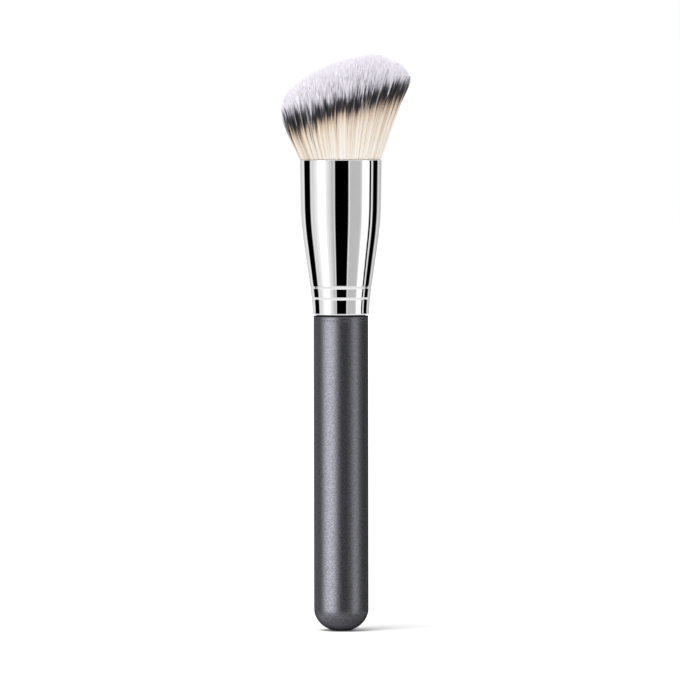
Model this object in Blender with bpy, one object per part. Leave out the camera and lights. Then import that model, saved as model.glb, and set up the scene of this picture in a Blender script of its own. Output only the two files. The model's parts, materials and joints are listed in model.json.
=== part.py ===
"""Foundation brush with a slanted, domed tuft, a crimped metal ferrule and a thick round handle.

The brush stands on the small flat at the end of its handle. +Z runs up its axis, and +X points to the
longer side of the slanted tuft. Lengths are in metres, written as millimetres times MM.
"""

import math

import bmesh
import bpy
from mathutils import Vector

MM = 0.001

# Fits and fineness shared by all pieces
FIT_GAP = 0.3 * MM
ROUND_SEGMENTS = 48
SAME_POINT = 0.001 * MM
FLAT_SHADE_ANGLE = math.radians(40)

# Handle
HANDLE_LENGTH = 93.0 * MM
HANDLE_RADIUS = 8.0 * MM
END_FLAT_RADIUS = 2.5 * MM
END_DOME_HEIGHT = 6.8 * MM
END_DOME_STEPS = 7
SKIN_WALL = 0.5 * MM
SKIN_EDGE = 0.15 * MM
TENON_LENGTH = 18.0 * MM
TENON_CHAMFER = 1.0 * MM

# Ferrule: heights are above its foot, radii are outer ones
FERRULE_LENGTH = 45.6 * MM
FERRULE_WALL = 0.4 * MM
FOOT_STEP = 0.3 * MM
FOOT_ROLL = 0.15 * MM
FOOT_ROLL_HEIGHT = 1.4 * MM
FOOT_ROLL_SHARES = (0, 0.4, 1)
COLLAR_HEIGHT = 9.2 * MM
COLLAR_FLARE = 0.85 * MM
COLLAR_CURVE = 1.4
CRIMP_DEPTH = 0.35 * MM
CRIMP_WIDTH = 1.0 * MM
CRIMP_SHARES = (-1, -0.5, 0, 0.5, 1)
CRIMP_BELOW_COLLAR_TOP = 1.15 * MM
CRIMP_SPACING = 3.15 * MM
CRIMPS = 2
SHOULDER_HEIGHT = 26.8 * MM
SHOULDER_BLEND = 6.0 * MM
SHOULDER_STEPS = 6
MOUTH_RADIUS = 12.05 * MM
MOUTH_FLARE = 0.3 * MM
MOUTH_EDGE = 0.2 * MM

# Resin in the ferrule
PLUG_HEIGHT = 5.0 * MM

# Thread that ties the roots of the filaments
THREAD_DIAMETER = 0.6 * MM
THREAD_PITCH = 1.1 * MM
THREAD_TURNS = 4
THREAD_POINTS_PER_TURN = 24
THREAD_HEIGHT = 2.0 * MM

# Tuft: heights are above the ferrule's mouth. At SPREAD_HEIGHT it is wider than its root by SPREAD all round.
TUFT_RINGS = ROUND_SEGMENTS // 6
TUFT_SWIRL = math.radians(50)
ROOT_DROP = 0.3 * MM
STRAND_GAP = 0.22 * MM
RIM_TIP_HEIGHT = 18.4 * MM
RIM_SLANT = 4.2 * MM
DOME_HEIGHT = 12.0 * MM
DOME_POWER_SHORT_SIDE = 0.75
DOME_POWER_LONG_SIDE = 0.5
SPREAD = 9.7 * MM
SPREAD_HEIGHT = 24.0 * MM
TAPER_START_SHARE = 0.84
TAPER_WIDTH_SHARE = 1.1
DARK_BAND_LOW = 12.7 * MM
DARK_BAND_HIGH = 18.8 * MM
BAND_SLANT = 0.27


def arc(centre_height, half_width, half_height, start, end, steps):
    """Points (radius, height) on the lower half of an ellipse about the axis, from one angle to the other."""
    turn = (end - start) / steps
    angles = [start + turn * step for step in range(steps + 1)]
    return [(half_width * math.cos(a), centre_height - half_height * math.sin(a)) for a in angles]


def end_dome(inset):
    """The handle's rounded end, this far inside its outer surface, from the flat to the straight side."""
    centre_height = END_DOME_HEIGHT * math.sqrt(1 - (END_FLAT_RADIUS / HANDLE_RADIUS) ** 2)
    half_height = END_DOME_HEIGHT - inset
    start = math.asin((centre_height - inset) / half_height)
    return arc(centre_height, HANDLE_RADIUS - inset, half_height, start, 0, END_DOME_STEPS)


def collar_radius(height):
    """Outer radius of the crimped collar, before its crimps are pressed in."""
    radius = HANDLE_RADIUS + FOOT_STEP + COLLAR_FLARE * (height / COLLAR_HEIGHT) ** COLLAR_CURVE
    rolled = max(0, 1 - height / FOOT_ROLL_HEIGHT)
    return radius - FOOT_ROLL * rolled**2


def crimp(height):
    """Points across one crimp, a soft groove rolled into the collar."""
    points = []
    for share in CRIMP_SHARES:
        place = height + share * CRIMP_WIDTH / 2
        depth = CRIMP_DEPTH * math.cos(share * math.pi / 2) ** 2
        points.append((collar_radius(place) - depth, place))
    return points


def shoulder():
    """The bend from the taper to the nearly straight mouth, as a quadratic curve about its corner."""
    corner = Vector((MOUTH_RADIUS - MOUTH_FLARE, SHOULDER_HEIGHT))
    taper = (corner.x - collar_radius(COLLAR_HEIGHT)) / (SHOULDER_HEIGHT - COLLAR_HEIGHT)
    mouth = MOUTH_FLARE / (FERRULE_LENGTH - SHOULDER_HEIGHT)
    start = corner - SHOULDER_BLEND * Vector((taper, 1))
    end = corner + SHOULDER_BLEND * Vector((mouth, 1))
    shares = [step / SHOULDER_STEPS for step in range(SHOULDER_STEPS + 1)]
    points = [start * (1 - s) ** 2 + corner * 2 * s * (1 - s) + end * s**2 for s in shares]
    return [tuple(point) for point in points]


def ferrule_wall():
    """The ferrule's outer line (radius, height), from its foot to the rounded edge of its mouth."""
    foot = [(collar_radius(share * FOOT_ROLL_HEIGHT), share * FOOT_ROLL_HEIGHT) for share in FOOT_ROLL_SHARES]
    top_crimp = COLLAR_HEIGHT - CRIMP_BELOW_COLLAR_TOP
    crimp_heights = [top_crimp - CRIMP_SPACING * k for k in reversed(range(CRIMPS))]
    crimps = [point for height in crimp_heights for point in crimp(height)]
    collar_top = [(collar_radius(COLLAR_HEIGHT), COLLAR_HEIGHT)]
    mouth = [(MOUTH_RADIUS, FERRULE_LENGTH - MOUTH_EDGE)]
    return foot + crimps + collar_top + shoulder() + mouth


def inwards(line, distance):
    return [(radius - distance, height) for radius, height in line]


def radius_at(line, height):
    """The radius of a line of points at one height, which runs straight on past its last point."""
    for (r0, h0), (r1, h1) in zip(line, line[1:]):
        if height <= h1:
            break
    return r0 + (r1 - r0) * (height - h0) / (h1 - h0)


def between(line, low, high):
    """The stretch of a line of points from one height to another."""
    inside = [(radius, height) for radius, height in line if low < height < high]
    return [(radius_at(line, low), low)] + inside + [(radius_at(line, high), high)]


# What fits in the ferrule is sized from its bore. Heights are above its foot.
FERRULE_LINE = ferrule_wall()
BORE_LINE = inwards(FERRULE_LINE, FERRULE_WALL)
FILL_LINE = inwards(BORE_LINE, FIT_GAP)
NARROWEST_BORE = min(radius for radius, _ in BORE_LINE)
CORE_RADIUS = HANDLE_RADIUS - SKIN_WALL - FIT_GAP
TENON_RADIUS = min(CORE_RADIUS, NARROWEST_BORE - FIT_GAP)
GLUE_BOTTOM = COLLAR_HEIGHT + FIT_GAP
PLUG_BOTTOM = TENON_LENGTH + FIT_GAP
PLUG_TOP = PLUG_BOTTOM + PLUG_HEIGHT
ROOT_BOTTOM = PLUG_TOP + FIT_GAP
ROOT_TOP = FERRULE_LENGTH - ROOT_DROP
WAIST_LOW = ROOT_BOTTOM + THREAD_HEIGHT
WAIST_HIGH = WAIST_LOW + THREAD_PITCH * (THREAD_TURNS + 1)
THREAD_RADIUS = radius_at(FILL_LINE, WAIST_LOW) - THREAD_DIAMETER / 2
WAIST_RADIUS = THREAD_RADIUS - THREAD_DIAMETER / 2 - FIT_GAP
ROOT_RADIUS = radius_at(FILL_LINE, ROOT_TOP)

FOOT_HEIGHT = HANDLE_LENGTH + FIT_GAP
MOUTH_HEIGHT = FOOT_HEIGHT + FERRULE_LENGTH


def finish(name, colour, roughness, metallic=0.0):
    material = bpy.data.materials.new(name)
    material.use_nodes = True
    shader = material.node_tree.nodes["Principled BSDF"]
    shader.inputs["Base Color"].default_value = (*colour, 1)
    shader.inputs["Roughness"].default_value = roughness
    shader.inputs["Metallic"].default_value = metallic
    return material


def dipped_filament():
    """Cream filaments with a dark band and white tips. The band rises towards the longer side."""
    material = finish("dipped_filament", (0.86, 0.78, 0.66), 0.55)
    nodes = material.node_tree.nodes
    link = material.node_tree.links.new
    place = nodes.new("ShaderNodeTexCoord")
    split = nodes.new("ShaderNodeSeparateXYZ")
    level = nodes.new("ShaderNodeMath")
    level.operation = "MULTIPLY_ADD"
    level.inputs[1].default_value = -BAND_SLANT
    reach = nodes.new("ShaderNodeMapRange")
    reach.inputs["From Max"].default_value = SPREAD_HEIGHT
    ramp = nodes.new("ShaderNodeValToRGB")
    stops = ramp.color_ramp.elements
    cream, dark, white = (0.86, 0.78, 0.66, 1), (0.03, 0.028, 0.035, 1), (0.84, 0.82, 0.88, 1)
    low_share, high_share = DARK_BAND_LOW / SPREAD_HEIGHT, DARK_BAND_HIGH / SPREAD_HEIGHT
    edge_share = (high_share - low_share) / 4
    stops[0].position, stops[0].color = low_share - edge_share, cream
    stops[1].position, stops[1].color = high_share + edge_share, white
    for share in (low_share + edge_share, high_share - edge_share):
        stops.new(share).color = dark
    link(place.outputs["Object"], split.inputs["Vector"])
    link(split.outputs["X"], level.inputs[0])
    link(split.outputs["Z"], level.inputs[2])
    link(level.outputs["Value"], reach.inputs["Value"])
    link(reach.outputs["Result"], ramp.inputs["Fac"])
    link(ramp.outputs["Color"], nodes["Principled BSDF"].inputs["Base Color"])
    return material


def add_piece(name, bm, material, height, brush):
    """Makes the bmesh a named object, shaded smooth but for its sharp edges, at its height on the brush."""
    mesh = bpy.data.meshes.new(name)
    bm.to_mesh(mesh)
    bm.free()
    mesh.materials.append(material)
    mesh.shade_smooth()
    mesh.set_sharp_from_angle(angle=FLAT_SHADE_ANGLE)
    piece = bpy.data.objects.new(name, mesh)
    bpy.context.scene.collection.objects.link(piece)
    piece.parent = brush
    piece.location.z = height
    return piece


def turned(outline, closed=False):
    """The solid that an outline (radius, height) sweeps about the axis, where an open one starts and ends."""
    bm = bmesh.new()
    verts = [bm.verts.new((radius, 0, height)) for radius, height in outline]
    pairs = list(zip(verts, verts[1:]))
    if closed:
        pairs.append((verts[-1], verts[0]))
    edges = [bm.edges.new(pair) for pair in pairs]
    bmesh.ops.spin(
        bm,
        geom=verts + edges,
        axis=(0, 0, 1),
        cent=(0, 0, 0),
        angle=math.tau,
        steps=ROUND_SEGMENTS,
        use_merge=True,
    )
    bmesh.ops.remove_doubles(bm, verts=bm.verts, dist=SAME_POINT)
    bmesh.ops.recalc_face_normals(bm, faces=bm.faces)
    return bm


def handle_core(brush):
    """Wooden dowel with a rounded end under the skin and a glued tenon in the ferrule."""
    under_skin = end_dome(SKIN_WALL + FIT_GAP)
    tenon_top = FOOT_HEIGHT + TENON_LENGTH
    side = [
        (CORE_RADIUS, HANDLE_LENGTH),
        (TENON_RADIUS, HANDLE_LENGTH),
        (TENON_RADIUS, tenon_top - TENON_CHAMFER),
        (TENON_RADIUS - TENON_CHAMFER, tenon_top),
    ]
    outline = [(0, under_skin[0][1])] + under_skin + side + [(0, tenon_top)]
    wood = finish("stained_wood", (0.045, 0.04, 0.038), 0.6)
    add_piece("handle_core", turned(outline), wood, 0, brush)


def handle_skin(brush):
    """Grained skin moulded over the core, a cup that is open at the ferrule."""
    outer = end_dome(0)
    inner = end_dome(SKIN_WALL)
    bore_radius = HANDLE_RADIUS - SKIN_WALL
    top_edge = [
        (HANDLE_RADIUS, HANDLE_LENGTH - SKIN_EDGE),
        (HANDLE_RADIUS - SKIN_EDGE, HANDLE_LENGTH),
        (bore_radius, HANDLE_LENGTH),
    ]
    outline = [(0, 0)] + outer + top_edge + inner[::-1] + [(0, inner[0][1])]
    skin = finish("grained_skin", (0.105, 0.107, 0.122), 0.38, 0.35)
    add_piece("handle_skin", turned(outline), skin, 0, brush)


def ferrule(brush):
    """Drawn and chromed metal tube, with two crimps that bite on the tenon."""
    half_round = MOUTH_EDGE * (1 - math.sqrt(0.5))
    mouth_edge = [
        (MOUTH_RADIUS - half_round, FERRULE_LENGTH - half_round),
        (MOUTH_RADIUS - MOUTH_EDGE, FERRULE_LENGTH),
        (MOUTH_RADIUS - FERRULE_WALL, FERRULE_LENGTH),
    ]
    outline = FERRULE_LINE + mouth_edge + BORE_LINE[::-1]
    chrome = finish("chrome_plate", (0.86, 0.86, 0.87), 0.06, 1.0)
    add_piece("ferrule", turned(outline, closed=True), chrome, FOOT_HEIGHT, brush)


def tenon_glue(brush):
    """Ring of resin that fills the taper between the tenon and the ferrule."""
    bore_radius = TENON_RADIUS + FIT_GAP
    outline = between(FILL_LINE, GLUE_BOTTOM, TENON_LENGTH)
    outline += [(bore_radius, TENON_LENGTH), (bore_radius, GLUE_BOTTOM)]
    resin = finish("amber_resin", (0.62, 0.5, 0.26), 0.35)
    add_piece("tenon_glue", turned(outline, closed=True), resin, FOOT_HEIGHT, brush)


def root_plug(brush):
    """Disc of cast resin between the tenon and the roots of the filaments."""
    side = between(FILL_LINE, PLUG_BOTTOM, PLUG_TOP)
    outline = [(0, PLUG_BOTTOM)] + side + [(0, PLUG_TOP)]
    resin = finish("clear_resin", (0.7, 0.66, 0.55), 0.3)
    add_piece("root_plug", turned(outline), resin, FOOT_HEIGHT, brush)


def thread_points():
    """Centreline of the winding, a helix from the lowest turn to the highest."""
    count = THREAD_TURNS * THREAD_POINTS_PER_TURN
    start = WAIST_LOW + THREAD_PITCH / 2
    points = []
    for step in range(count + 1):
        turn = step / THREAD_POINTS_PER_TURN
        angle = math.tau * turn
        across = THREAD_RADIUS * Vector((math.cos(angle), math.sin(angle)))
        points.append(Vector((*across, start + THREAD_PITCH * turn)))
    return points


def least_gap(points):
    """The least free space between two turns of the thread."""
    turn = THREAD_POINTS_PER_TURN
    far = turn // 2
    spans = [(a - b).length for i, a in enumerate(points) for b in points[i + far :]]
    return min(spans) - THREAD_DIAMETER


def binding_thread(brush):
    """Thread wound round the waist of the roots before they are set in resin."""
    points = thread_points()
    print(f"binding thread: least gap between turns {least_gap(points) / MM:.2f} mm")
    curve = bpy.data.curves.new("binding_thread", "CURVE")
    curve.dimensions = "3D"
    curve.bevel_depth = THREAD_DIAMETER / 2
    curve.bevel_resolution = 1
    curve.use_fill_caps = True
    spline = curve.splines.new("POLY")
    spline.points.add(len(points) - 1)
    for target, point in zip(spline.points, points):
        target.co = (*point, 1)
    curve.materials.append(finish("binding_thread", (0.55, 0.5, 0.42), 0.85))
    piece = bpy.data.objects.new("binding_thread", curve)
    bpy.context.scene.collection.objects.link(piece)
    piece.parent = brush
    piece.location.z = FOOT_HEIGHT


def round_place(corners, place):
    """Moves a point of a hexagon to its disc, whose rings are even circles, each turned a bit more."""
    for first, second in zip(corners, corners[1:] + corners[:1]):
        cross = first.x * second.y - first.y * second.x
        along_first = (place.x * second.y - place.y * second.x) / cross
        along_second = (first.x * place.y - first.y * place.x) / cross
        if min(along_first, along_second) >= 0:
            break
    ring = along_first + along_second
    angle = math.atan2(first.y, first.x) + along_second / ring * math.tau / 6 + ring * TUFT_SWIRL
    return ring * first.length * Vector((math.cos(angle), math.sin(angle)))


def root_disc():
    """Flat disc of even triangles, one for each strand, in rings of six more than the last."""
    bm = bmesh.new()
    bmesh.ops.create_circle(bm, cap_ends=True, cap_tris=True, segments=6, radius=ROOT_RADIUS)
    corners = [vert.co.xy for vert in bm.verts if vert.co.length > ROOT_RADIUS / 2]
    corners.sort(key=lambda corner: math.atan2(corner.y, corner.x))
    bmesh.ops.subdivide_edges(bm, edges=bm.edges, cuts=TUFT_RINGS - 1, use_grid_fill=True)
    for vert in bm.verts:
        if vert.co.length > SAME_POINT:
            vert.co.xy = round_place(corners, vert.co)
    return bm


def spread(place, height):
    """Where the filament from this place at the mouth is at a height: all fan out from one point below."""
    share = 1 + SPREAD / ROOT_RADIUS * height / SPREAD_HEIGHT
    return Vector((place.x * share, place.y * share, height))


def tip_height(place):
    """Height of a filament's tip above the mouth: a slanted rim that carries a dome."""
    along = place.x / ROOT_RADIUS
    from_axis = min(1, place.xy.length / ROOT_RADIUS)
    side = (along + 1) / 2
    power = DOME_POWER_SHORT_SIDE * (1 - side) + DOME_POWER_LONG_SIDE * side
    return RIM_TIP_HEIGHT + RIM_SLANT * along + DOME_HEIGHT * (1 - from_axis**2) ** power


def drawn_down(bm, rim, radius, height):
    """Extrudes a ring of edges down to a circle of this radius and returns the new ring."""
    made = bmesh.ops.extrude_edge_only(bm, edges=rim)["geom"]
    verts = {item for item in made if isinstance(item, bmesh.types.BMVert)}
    for vert in verts:
        vert.co.xy = radius * vert.co.xy.normalized()
        vert.co.z = height
    return [item for item in made if isinstance(item, bmesh.types.BMEdge) and set(item.verts) <= verts]


def bristle_tuft(brush):
    """Filaments as tapered strands, fused to their packed roots, which the thread draws in at a waist."""
    bm = root_disc()
    for vert in bm.verts:
        vert.co.z = -ROOT_DROP
    strands = list(bm.faces)
    rim = [edge for edge in bm.edges if edge.is_boundary]
    waist_edge = THREAD_PITCH / 2
    roots = [
        (radius_at(FILL_LINE, WAIST_HIGH + waist_edge), WAIST_HIGH + waist_edge),
        (WAIST_RADIUS, WAIST_HIGH),
        (WAIST_RADIUS, WAIST_LOW),
        (radius_at(FILL_LINE, WAIST_LOW - waist_edge), WAIST_LOW - waist_edge),
        (radius_at(FILL_LINE, ROOT_BOTTOM), ROOT_BOTTOM),
    ]
    for radius, height in roots:
        rim = drawn_down(bm, rim, radius, height - FERRULE_LENGTH)
    bmesh.ops.edgeloop_fill(bm, edges=rim)
    bmesh.ops.recalc_face_normals(bm, faces=bm.faces)

    bmesh.ops.inset_individual(bm, faces=strands, thickness=STRAND_GAP / 2, use_even_offset=True)
    for face in bmesh.ops.extrude_discrete_faces(bm, faces=strands)["faces"]:
        root = face.calc_center_median()
        taper_start = TAPER_START_SHARE * tip_height(root)
        for vert in face.verts:
            vert.co = spread(root + TAPER_WIDTH_SHARE * (vert.co - root), taper_start)
        tip = bmesh.ops.poke(bm, faces=[face])["verts"][0]
        tip.co = spread(root, tip_height(root))
    add_piece("bristle_tuft", bm, dipped_filament(), MOUTH_HEIGHT, brush)


def main():
    for old in list(bpy.data.objects):
        bpy.data.objects.remove(old)
    brush = bpy.data.objects.new("foundation_brush", None)
    bpy.context.scene.collection.objects.link(brush)
    handle_core(brush)
    handle_skin(brush)
    ferrule(brush)
    tenon_glue(brush)
    root_plug(brush)
    binding_thread(brush)
    bristle_tuft(brush)


main()
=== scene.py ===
"""The look of the foundation brush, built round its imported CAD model. Lengths are in metres."""

import json
import math

import bmesh
import bpy
import numpy as np
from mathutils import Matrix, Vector
from mathutils.kdtree import KDTree

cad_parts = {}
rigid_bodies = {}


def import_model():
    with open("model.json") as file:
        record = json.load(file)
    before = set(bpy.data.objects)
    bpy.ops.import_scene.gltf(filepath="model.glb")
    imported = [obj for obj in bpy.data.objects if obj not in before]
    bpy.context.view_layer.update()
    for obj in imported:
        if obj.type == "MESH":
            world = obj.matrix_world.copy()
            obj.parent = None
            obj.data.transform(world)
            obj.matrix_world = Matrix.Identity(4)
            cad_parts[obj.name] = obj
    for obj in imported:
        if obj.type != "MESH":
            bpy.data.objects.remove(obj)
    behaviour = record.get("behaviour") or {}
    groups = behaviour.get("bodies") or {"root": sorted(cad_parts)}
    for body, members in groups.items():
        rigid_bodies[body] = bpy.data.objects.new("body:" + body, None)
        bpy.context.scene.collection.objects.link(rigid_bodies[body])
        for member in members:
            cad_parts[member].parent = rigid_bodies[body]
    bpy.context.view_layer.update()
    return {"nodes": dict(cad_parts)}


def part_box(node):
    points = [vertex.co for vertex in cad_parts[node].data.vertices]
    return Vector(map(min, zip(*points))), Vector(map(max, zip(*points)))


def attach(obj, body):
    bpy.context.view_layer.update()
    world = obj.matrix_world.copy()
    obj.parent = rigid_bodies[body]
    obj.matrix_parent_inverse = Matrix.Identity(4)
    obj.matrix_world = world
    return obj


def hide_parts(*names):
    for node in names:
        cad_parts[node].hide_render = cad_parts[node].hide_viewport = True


for leftover in list(bpy.data.objects):
    bpy.data.objects.remove(leftover)
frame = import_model()
nodes = frame["nodes"]

MM = 0.001
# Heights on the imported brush: the handle's top, the ferrule's foot and mouth, and the lower end of the roots.
HANDLE_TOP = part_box("handle_skin")[1].z
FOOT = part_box("ferrule")[0].z
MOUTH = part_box("ferrule")[1].z
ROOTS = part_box("bristle_tuft")[0].z


# Shader maths


class Wire:
    """A value in a shader. Arithmetic on it adds Math nodes."""

    def __init__(self, shader, socket):
        self.shader = shader
        self.socket = socket

    def __add__(self, other):
        return self.shader.maths("ADD", self, other)

    def __sub__(self, other):
        return self.shader.maths("SUBTRACT", self, other)

    def __rsub__(self, other):
        return self.shader.maths("SUBTRACT", other, self)

    def __mul__(self, other):
        return self.shader.maths("MULTIPLY", self, other)

    def __truediv__(self, other):
        return self.shader.maths("DIVIDE", self, other)

    def __pow__(self, other):
        return self.shader.maths("POWER", self, other)

    def __neg__(self):
        return self * -1

    __radd__ = __add__
    __rmul__ = __mul__

    def step(self, low, high):
        """0 below low, 1 above high and a soft rise between them."""
        inputs = {"Value": self, "From Min": low, "From Max": high}
        return self.shader.add("ShaderNodeMapRange", {"interpolation_type": "SMOOTHSTEP"}, inputs)


class Shader:
    """A node tree, to which add() adds a node and returns one of its outputs."""

    def __init__(self, tree):
        self.tree = tree

    def feed(self, socket, value):
        """Links a wire to a socket, or sets a constant there. Colours are opaque and come without alpha."""
        if isinstance(value, Wire):
            self.tree.links.new(value.socket, socket)
        elif socket.type == "RGBA":
            socket.default_value = (*value, 1)
        else:
            socket.default_value = value

    def add(self, kind, settings=None, inputs=None, output=0):
        node = self.tree.nodes.new(kind)
        for name, value in (settings or {}).items():
            if name == "stops":
                set_stops(node.color_ramp, value)
            else:
                setattr(node, name, value)
        for name, value in (inputs or {}).items():
            self.feed(node.inputs[name], value)
        return Wire(self, node.outputs[output]) if node.outputs else None

    def maths(self, operation, *values):
        return self.add("ShaderNodeMath", {"operation": operation}, dict(enumerate(values)))

    def ramp(self, place, stops):
        """The colours of the stops, blended evenly. Stops are (place, colour) from 0 to 1."""
        return self.add("ShaderNodeValToRGB", {"stops": stops}, {"Fac": place})

    def mix(self, share, first, second, blend="MIX"):
        settings = {"data_type": "RGBA", "blend_type": blend}
        return self.add("ShaderNodeMix", settings, {0: share, 6: first, 7: second}, 2)

    def noise(self, place, scale, detail=2.0, roughness=0.5, distortion=0.0):
        inputs = {"Vector": place, "Scale": scale, "Detail": detail, "Roughness": roughness}
        return self.add("ShaderNodeTexNoise", None, {**inputs, "Distortion": distortion})

    def stretched(self, place, scale):
        """The place scaled along each axis. A low scale draws a pattern out."""
        return self.add("ShaderNodeMapping", None, {"Vector": place, "Scale": scale})

    def split(self, vector):
        return [self.add("ShaderNodeSeparateXYZ", None, {"Vector": vector}, axis) for axis in range(3)]

    def object_place(self):
        return self.add("ShaderNodeTexCoord", None, None, "Object")

    def attribute(self, name):
        return self.add("ShaderNodeAttribute", {"attribute_name": name}, None, "Fac")

    def azimuth(self, x, y):
        """Azimuth as a share of a turn: 0.5 at the front, which is -Y, and more towards the right, +X."""
        return self.maths("ARCTAN2", x, -y) / math.tau + 0.5

    def around(self):
        """Azimuth, as a share of a turn, radius and height of the object's points."""
        x, y, z = self.split(self.object_place())
        return self.azimuth(x, y), (x * x + y * y) ** 0.5, z


def set_stops(ramp, stops):
    ramp.elements[0].position = stops[0][0]
    ramp.elements[1].position = stops[-1][0]
    for place, _ in stops[1:-1]:
        ramp.elements.new(place)
    for element, (_, colour) in zip(ramp.elements, stops):
        element.color = (*colour, 1)


class Finish(Shader):
    """A material with one Principled shader. Constants go to its sockets, and wires are linked to them."""

    def __init__(self, name):
        self.material = bpy.data.materials.new(name)
        self.material.use_nodes = True
        super().__init__(self.material.node_tree)
        self.surface = self.tree.nodes["Principled BSDF"]

    def set(self, **sockets):
        for name, value in sockets.items():
            self.feed(self.surface.inputs[name.replace("_", " ")], value)
        return self

    def bump(self, height, distance):
        return self.add("ShaderNodeBump", None, {"Height": height, "Distance": distance})


def grey(level):
    return (level, level, level)


# Finishes

# Height in mm above the mouth, colour of the palest filaments there and colour of the deepest, which is partly
# a random darker tone and partly painted shade for depth and gaps. Undyed ones read the last two stops.
DYE_AND_SHADE_STOPS = [
    (0.0, (0.985, 0.945, 0.87), (0.8, 0.69, 0.57)),
    (9.0, (0.965, 0.88, 0.77), (0.61, 0.465, 0.34)),
    (11.4, (0.93, 0.785, 0.64), (0.36, 0.24, 0.165)),
    (12.6, (0.76, 0.565, 0.43), (0.065, 0.042, 0.035)),
    (13.7, (0.2, 0.155, 0.14), (0.018, 0.015, 0.016)),
    (14.3, (0.05, 0.046, 0.051), (0.013, 0.012, 0.014)),
    (16.3, (0.047, 0.045, 0.054), (0.012, 0.011, 0.014)),
    (17.2, (0.17, 0.165, 0.195), (0.028, 0.026, 0.033)),
    (18.0, (0.8, 0.765, 0.85), (0.09, 0.085, 0.105)),
    (20.0, (0.86, 0.825, 0.9), (0.11, 0.103, 0.13)),
    (23.5, (0.84, 0.805, 0.88), (0.1, 0.094, 0.12)),
    (28.5, (0.81, 0.775, 0.85), (0.25, 0.235, 0.285)),
    (36.0, (0.82, 0.787, 0.86), (0.3, 0.285, 0.34)),
    (41.0, (0.96, 0.91, 0.84), (0.78, 0.67, 0.56)),
    (60.0, (0.96, 0.94, 0.97), (0.4, 0.38, 0.42)),
]
DYE_SPAN = 85.0
# What an undyed filament adds to its height before it reads the stops, in mm.
UNDYED = 45
# How far the black band climbs for each mm to the right, and its top at the axis, in mm above the mouth.
BAND_SLANT = 0.265
BAND_TOP = 17.1
# How much taller the band is at the tuft's sides, and from where to where it grows, in mm from the axis.
BAND_GROWTH_SHORT_SIDE = 0.23
BAND_REACH_SHORT_SIDE = (4, 14)
BAND_GROWTH_LONG_SIDE = 0.1
BAND_REACH_LONG_SIDE = (8, 15)

ROOT_RELIEF = 0.05 * MM
CHROME_RIPPLE = 0.0006 * MM
SKIN_GRAIN = 0.014 * MM
SKIN_GRAIN_DRIFT = 0.12 * MM
# What is left of the skin's grain on the domed end and at the handle's top, and over which heights it changes.
DOME_GRAIN_SHARE = 0.4
DOME_GRAIN_HEIGHTS = (7 * MM, 19 * MM)
TOP_GRAIN_SHARE = 0.2
TOP_GRAIN_HEIGHTS = (HANDLE_TOP - 1.5 * MM, HANDLE_TOP - 0.3 * MM)
# Heights of the painted shade line at the skin's top edge, for the gap under the ferrule.
GAP_SHADE_HEIGHTS = (HANDLE_TOP - 0.3 * MM, HANDLE_TOP - 0.2 * MM)
WOOD_PORES = -0.03 * MM
RESIN_RELIEF = 0.06 * MM
THREAD_RELIEF = 0.05 * MM
# Waves of the thread's twist in one turn round the roots, and radians of them for each metre up.
TWIST_AROUND = 160
TWIST_UP = 9 / MM


def filament_finish():
    """Dip-dyed filament: cream roots, a tan then black band and white tips, with its own shift and tone; the
    tone holds painted shade and painted light as well as random tone.
    """
    f = Finish("dip_dyed_filament")
    x, _, z = f.split(f.object_place())
    tone = f.attribute("tone")
    side = x / MM
    height = (z - MOUTH) / MM - BAND_SLANT * side + f.attribute("dye_shift")
    growth = BAND_GROWTH_SHORT_SIDE * (-side).step(*BAND_REACH_SHORT_SIDE)
    growth += BAND_GROWTH_LONG_SIDE * side.step(*BAND_REACH_LONG_SIDE)
    place = (BAND_TOP + (height - BAND_TOP) * (1 - growth)) / DYE_SPAN
    pale = f.ramp(place, [(stop / DYE_SPAN, colour) for stop, colour, _ in DYE_AND_SHADE_STOPS])
    deep_and_shaded = f.ramp(place, [(stop / DYE_SPAN, colour) for stop, _, colour in DYE_AND_SHADE_STOPS])
    # The tone mixes the pale colours towards the shaded ones: painted shade for depth, gaps and short wisps,
    # painted light at the tips, and a random part.
    f.set(Base_Color=f.mix(tone, pale, deep_and_shaded), Roughness=0.36 + 0.2 * tone)
    return f.set(IOR=1.5, Specular_IOR_Level=0.24).material


def root_finish():
    """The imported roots, cream filament soaked in resin."""
    f = Finish("resin_soaked_roots")
    streaks = f.noise(f.stretched(f.object_place(), (1, 1, 0.04)), 4000, 3)
    colour = f.ramp(streaks, [(0.3, (0.36, 0.27, 0.15)), (0.7, (0.62, 0.52, 0.36))])
    return f.set(Base_Color=colour, Roughness=0.35, Normal=f.bump(streaks, ROOT_RELIEF)).material


def chrome_finish():
    """Polished chrome plate with a breath of haze and the faintest ripple of drawn metal."""
    f = Finish("polished_chrome")
    place = f.object_place()
    haze = f.noise(place, 260, 3)
    ripple = f.noise(f.stretched(place, (1, 1, 0.1)), 2600, 2)
    colour = f.ramp(haze, [(0.3, (0.9, 0.9, 0.905)), (0.7, (0.94, 0.94, 0.945))])
    f.set(Base_Color=colour, Metallic=1.0, Roughness=0.015 + 0.03 * haze)
    return f.set(Normal=f.bump(ripple, CHROME_RIPPLE)).material


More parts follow.
